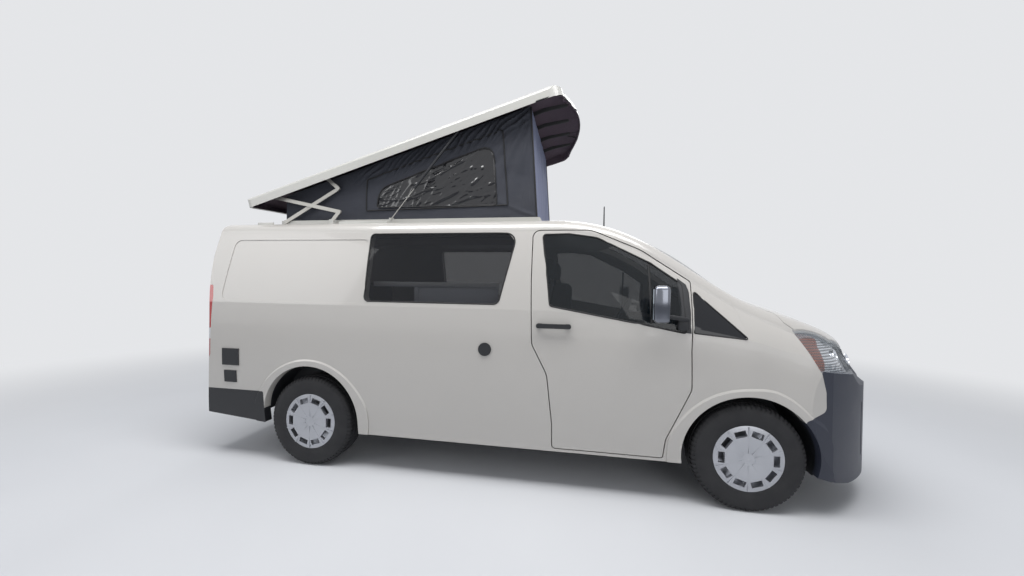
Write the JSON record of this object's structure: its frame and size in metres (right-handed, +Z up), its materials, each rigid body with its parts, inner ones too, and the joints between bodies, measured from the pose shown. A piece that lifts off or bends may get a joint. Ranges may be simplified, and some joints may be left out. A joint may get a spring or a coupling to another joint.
{
  "type": "camper van with a raised pop-top roof",
  "caption": "Long panel-sided camper van with a rear-hinged pop-top roof standing open on a fabric tent, opening doors, bonnet and tailgate.",
  "frame": {"origin": "on the ground, at mid-length, on the centreline", "axes": "+X forward, +Y to the van's left, +Z up"},
  "size_m": [5.265, 2.272, 2.9975],
  "materials": {
    "body_paint": "gloss",
    "black_plastic": "matte",
    "bumper_plastic": "matte",
    "tinted_glass": "gloss",
    "clear_glass": "gloss",
    "lamp_red": "gloss",
    "lamp_clear": "gloss",
    "chassis_steel": "satin",
    "grey_trim": "matte",
    "seat_fabric": "matte",
    "cabinet_board": "satin",
    "engine_iron": "matte",
    "tent_fabric": "matte",
    "shell_laminate": "gloss",
    "arm_silver": "satin",
    "strut_black": "satin",
    "rod_chrome": "polished",
    "tyre_rubber": "matte",
    "hubcap_silver": "satin",
    "mirror_chrome": "polished",
    "exhaust_steel": "satin"
  },
  "bodies": {
    "body": {"floor_pan": "chassis_steel", "bulkhead": "chassis_steel", "wheel_housings": "black_plastic", "side_panel_right": "body_paint", "side_panel_left": "body_paint", "roof_panel": "body_paint", "front_fenders": "body_paint", "cowl": "black_plastic", "grille": "black_plastic", "front_bumper": "bumper_plastic", "rear_bumper": "black_plastic", "headlamps": "lamp_clear", "tail_lamps": "lamp_red", "windscreen": "clear_glass", "side_glass": "tinted_glass", "sliding_door": "body_paint", "dashboard": "grey_trim", "front_seats": "seat_fabric", "rear_bench": "seat_fabric", "galley_cabinet": "cabinet_board", "engine_block": "engine_iron", "front_crossmember": "chassis_steel", "rear_axle": "chassis_steel", "fuel_tank": "black_plastic", "exhaust": "exhaust_steel", "side_inlets": "black_plastic", "aerial": "black_plastic", "tent_frame": "shell_laminate", "canvas": "tent_fabric"},
    "door_right": {"door_right": "body_paint", "door_glass_right": "clear_glass", "mirror_right": "mirror_chrome", "handle_right": "black_plastic"},
    "door_left": {"door_left": "body_paint", "door_glass_left": "clear_glass", "mirror_left": "mirror_chrome", "handle_left": "black_plastic"},
    "tailgate": {"tailgate": "body_paint", "tailgate_glass": "tinted_glass"},
    "bonnet": {"bonnet": "body_paint"},
    "roof_shell": {"roof_shell": "shell_laminate"},
    "lower_arms": {"lower_arms": "arm_silver"},
    "upper_arms": {"upper_arms": "arm_silver"},
    "links_a": {"links_a": "arm_silver"},
    "links_b": {"links_b": "arm_silver"},
    "strut_cylinders": {"strut_cylinders": "strut_black"},
    "strut_rods": {"strut_rods": "rod_chrome"},
    "steering_wheel": {"steering_wheel": "black_plastic"},
    "knuckle_right": {"knuckle_right": "chassis_steel"},
    "knuckle_left": {"knuckle_left": "chassis_steel"},
    "wheel_front_right": {"tyre_front_right": "tyre_rubber", "rim_front_right": "hubcap_silver"},
    "wheel_front_left": {"tyre_front_left": "tyre_rubber", "rim_front_left": "hubcap_silver"},
    "wheel_rear_right": {"tyre_rear_right": "tyre_rubber", "rim_rear_right": "hubcap_silver"},
    "wheel_rear_left": {"tyre_rear_left": "tyre_rubber", "rim_rear_left": "hubcap_silver"}
  },
  "joints": [
    {"name": "door_right_hinge", "type": "hinge", "parent": "body", "child": "door_right", "pos_m": [1.228, -0.978, 1], "axis": [0, 0, 1], "range_deg": [0, 65]},
    {"name": "door_left_hinge", "type": "hinge", "parent": "body", "child": "door_left", "pos_m": [1.228, 0.978, 1], "axis": [0, 0, -1], "range_deg": [0, 65]},
    {"name": "tailgate_hinge", "type": "hinge", "parent": "body", "child": "tailgate", "pos_m": [-2.5745, 0, 1.992], "axis": [0, 1, 0], "range_deg": [0, 85]},
    {"name": "bonnet_hinge", "type": "hinge", "parent": "body", "child": "bonnet", "pos_m": [1.553, 0, 1.42], "axis": [0, -1, 0], "range_deg": [0, 50]},
    {"name": "roof_tilt", "type": "hinge", "parent": "body", "child": "roof_shell", "pos_m": [-2.86, 0, 1.994], "axis": [0, 1, 0], "range_deg": [0, 16.7], "deforming": ["canvas"]},
    {"name": "lower_arm_pivot", "type": "hinge", "parent": "body", "child": "lower_arms", "pos_m": [-2.067, 0, 1.99], "axis": [0, 1, 0], "range_deg": [0, 27.7]},
    {"name": "upper_arm_pivot", "type": "hinge", "parent": "roof_shell", "child": "upper_arms", "pos_m": [-2.2, 0, 2.21], "axis": [0, 1, 0], "range_deg": [-28.2, 0]},
    {"name": "link_a_pivot", "type": "hinge", "parent": "roof_shell", "child": "links_a", "pos_m": [-1.67, 0, 2.36], "axis": [0, 1, 0], "range_deg": [-55.2, 0]},
    {"name": "link_b_pivot", "type": "hinge", "parent": "body", "child": "links_b", "pos_m": [-1.6, 0, 1.985], "axis": [0, 1, 0], "range_deg": [0, 42.8]},
    {"name": "strut_pivot", "type": "hinge", "parent": "roof_shell", "child": "strut_cylinders", "pos_m": [-0.46, 0, 2.715], "axis": [0, 1, 0], "range_deg": [0, 33.7]},
    {"name": "strut_slide", "type": "slide", "parent": "strut_cylinders", "child": "strut_rods", "axis": [-0.6325, 0, -0.7746], "range_m": [-0.238, 0]},
    {"name": "steering_wheel_turn", "type": "hinge", "parent": "body", "child": "steering_wheel", "pos_m": [0.9, 0.42, 1.17], "axis": [-0.8829, 0, 0.4695], "range_deg": [-495, 495]},
    {"name": "steer_right", "type": "hinge", "parent": "body", "child": "knuckle_right", "pos_m": [1.5875, -0.79, 0.354], "axis": [0, 0, 1], "range_deg": [-33, 33]},
    {"name": "steer_left", "type": "hinge", "parent": "body", "child": "knuckle_left", "pos_m": [1.5875, 0.79, 0.354], "axis": [0, 0, 1], "range_deg": [-33, 33]},
    {"name": "wheel_front_right_spin", "type": "hinge", "parent": "knuckle_right", "child": "wheel_front_right", "pos_m": [1.5875, -0.837, 0.354], "axis": [0, 1, 0], "continuous": true},
    {"name": "wheel_front_left_spin", "type": "hinge", "parent": "knuckle_left", "child": "wheel_front_left", "pos_m": [1.5875, 0.837, 0.354], "axis": [0, 1, 0], "continuous": true},
    {"name": "wheel_rear_right_spin", "type": "hinge", "parent": "body", "child": "wheel_rear_right", "pos_m": [-1.6225, -0.837, 0.354], "axis": [0, 1, 0], "continuous": true},
    {"name": "wheel_rear_left_spin", "type": "hinge", "parent": "body", "child": "wheel_rear_left", "pos_m": [-1.6225, 0.837, 0.354], "axis": [0, 1, 0], "continuous": true}
  ],
  "couplings": [
    {"joint": "lower_arm_pivot", "follows": "roof_tilt", "ratio": 1.6587},
    {"joint": "upper_arm_pivot", "follows": "roof_tilt", "ratio": -1.6886},
    {"joint": "link_a_pivot", "follows": "roof_tilt", "ratio": -3.3054},
    {"joint": "link_b_pivot", "follows": "roof_tilt", "ratio": 2.5629},
    {"joint": "strut_pivot", "follows": "roof_tilt", "ratio": 2.018},
    {"joint": "strut_slide", "follows": "roof_tilt", "m_per_rad": -0.81656},
    {"joint": "steer_left", "follows": "steering_wheel_turn", "ratio": 0.066667},
    {"joint": "steer_right", "follows": "steering_wheel_turn", "ratio": 0.066667}
  ]
}
